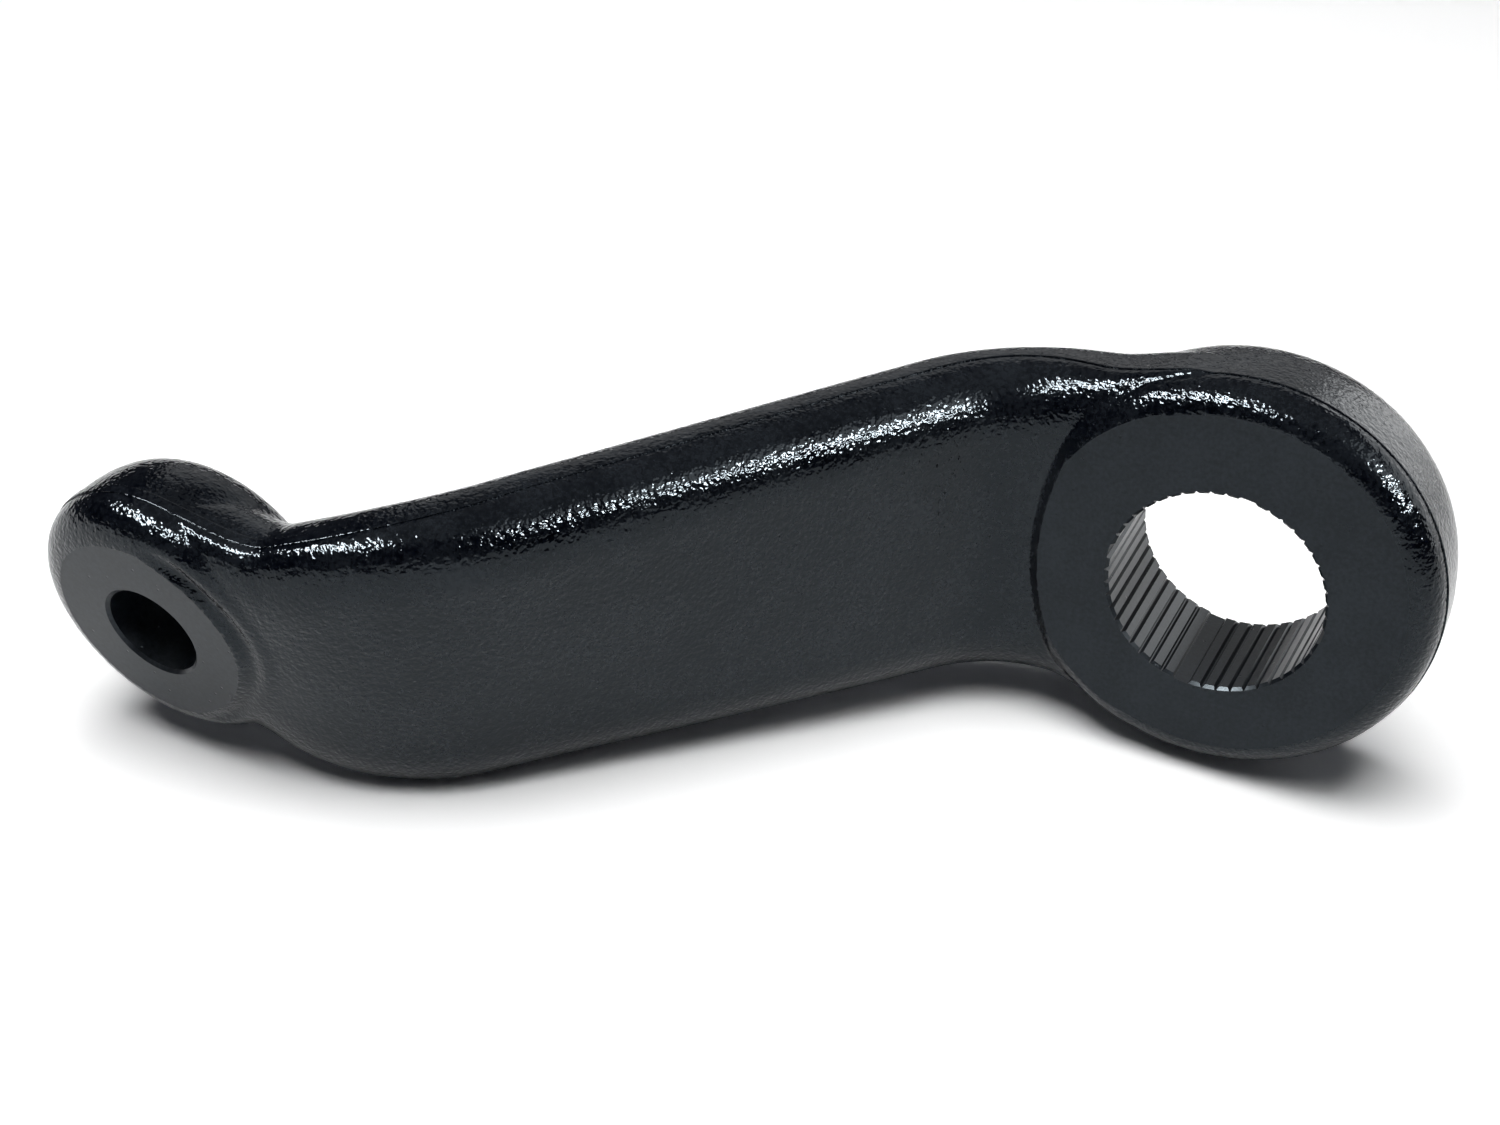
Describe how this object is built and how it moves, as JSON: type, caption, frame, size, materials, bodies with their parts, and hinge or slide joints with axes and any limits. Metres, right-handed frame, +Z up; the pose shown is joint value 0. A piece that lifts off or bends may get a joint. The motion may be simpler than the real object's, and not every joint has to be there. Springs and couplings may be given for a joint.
{
  "type": "drop pitman arm",
  "caption": "Forged drop pitman arm: a splined boss for the steering box shaft, a bent and twisted flat arm, and a smaller boss with a tapered stud hole.",
  "frame": {"origin": "centre of the serrated bore on the nut face", "axes": "Y along the bore, -Y out of the nut face on the drop side; the arm runs to -X; +Z up with the part on its lower edge, as in the picture"},
  "size_m": [0.2033, 0.1113, 0.0709],
  "materials": {
    "black_coat": "semi-gloss black coating over forged steel"
  },
  "bodies": {
    "root": {"pitman_arm": "black_coat"}
  },
  "joints": []
}
